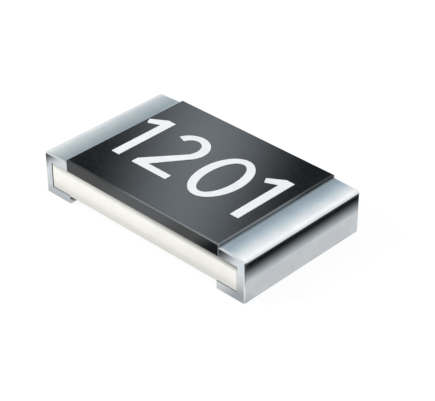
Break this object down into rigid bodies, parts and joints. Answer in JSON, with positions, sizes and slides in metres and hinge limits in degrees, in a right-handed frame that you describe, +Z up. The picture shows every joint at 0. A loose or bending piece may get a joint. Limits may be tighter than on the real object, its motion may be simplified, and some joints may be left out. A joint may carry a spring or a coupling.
{
  "type": "chip resistor",
  "caption": "Flat thick-film chip resistor for surface mounting: a white ceramic plate with a black coat over its film, and C-shaped tin-plated solder terminals round its ends.",
  "frame": {"origin": "middle of the underside, in the plane of the two solder feet", "axes": "+X along the chip from the left terminal to the right one, +Y across it, +Z up from the feet to the coat"},
  "size_m": [0.002, 0.0012, 0.0004],
  "materials": {
    "alumina": "matte",
    "silver": "matte",
    "resistive_film": "satin",
    "glass_coat": "gloss",
    "black_coat": "satin",
    "nickel": "satin",
    "tin": "satin",
    "marking_ink": "matte"
  },
  "bodies": {
    "root": {"substrate": "alumina", "top_conductor_left": "silver", "top_conductor_right": "silver", "bottom_conductor_left": "silver", "bottom_conductor_right": "silver", "edge_conductor_left": "silver", "edge_conductor_right": "silver", "resistive_film": "resistive_film", "glass_coat": "glass_coat", "overcoat": "black_coat", "nickel_barrier_left": "nickel", "nickel_barrier_right": "nickel", "tin_plating_left": "tin", "tin_plating_right": "tin"}
  },
  "joints": []
}
